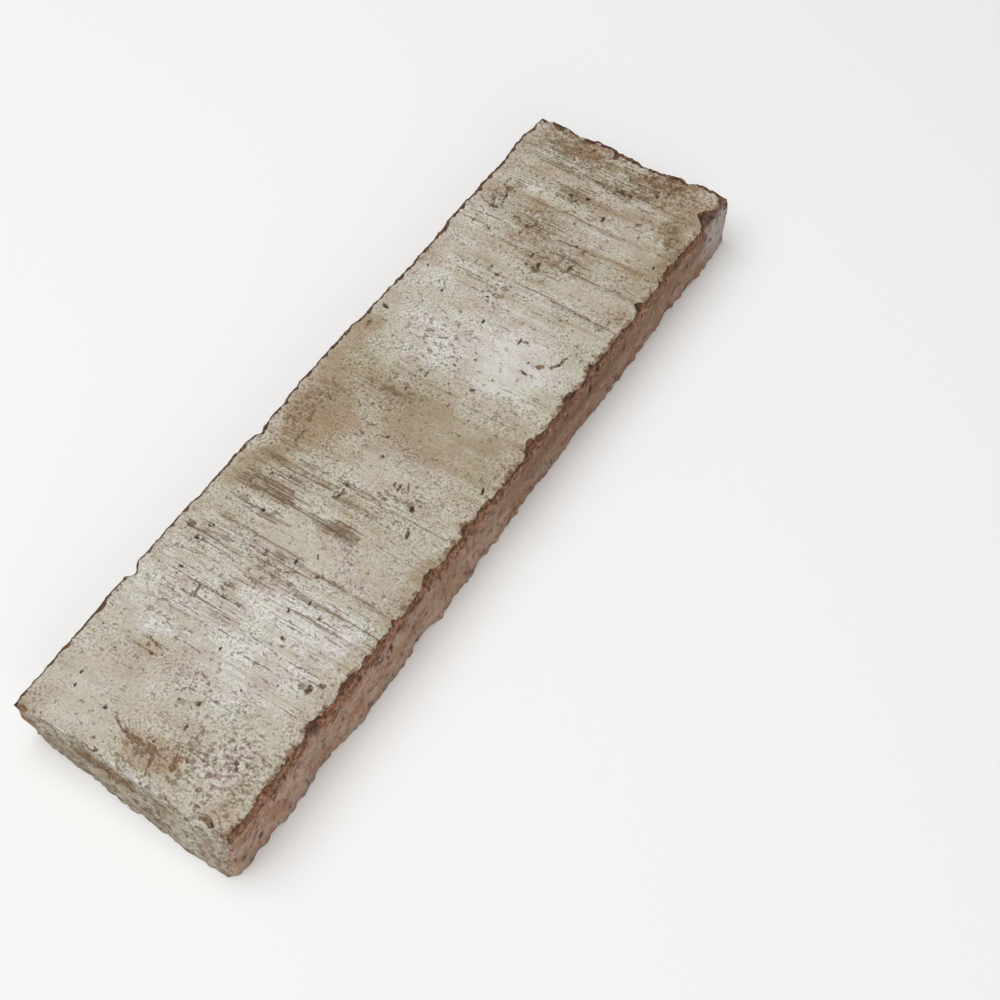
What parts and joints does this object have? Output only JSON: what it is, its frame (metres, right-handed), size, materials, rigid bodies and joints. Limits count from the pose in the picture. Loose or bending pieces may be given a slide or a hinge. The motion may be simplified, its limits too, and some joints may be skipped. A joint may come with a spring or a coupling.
{
  "type": "brick slip",
  "caption": "Thin facing brick with a pale drag-marked coat on its face, bare fired clay on its long side, chipped arrises and a flat back for bonding to a wall.",
  "frame": {"origin": "centre of the bounding box in plan, on the level of the flat back", "axes": "+X along the brick towards its far end, +Y across it towards the left long side, +Z out of the coated face"},
  "size_m": [0.1956, 0.056, 0.0159],
  "materials": {
    "coated_fired_clay": "matt, dragged and pitted"
  },
  "bodies": {
    "root": {"brick_slip": "coated_fired_clay"}
  },
  "joints": []
}
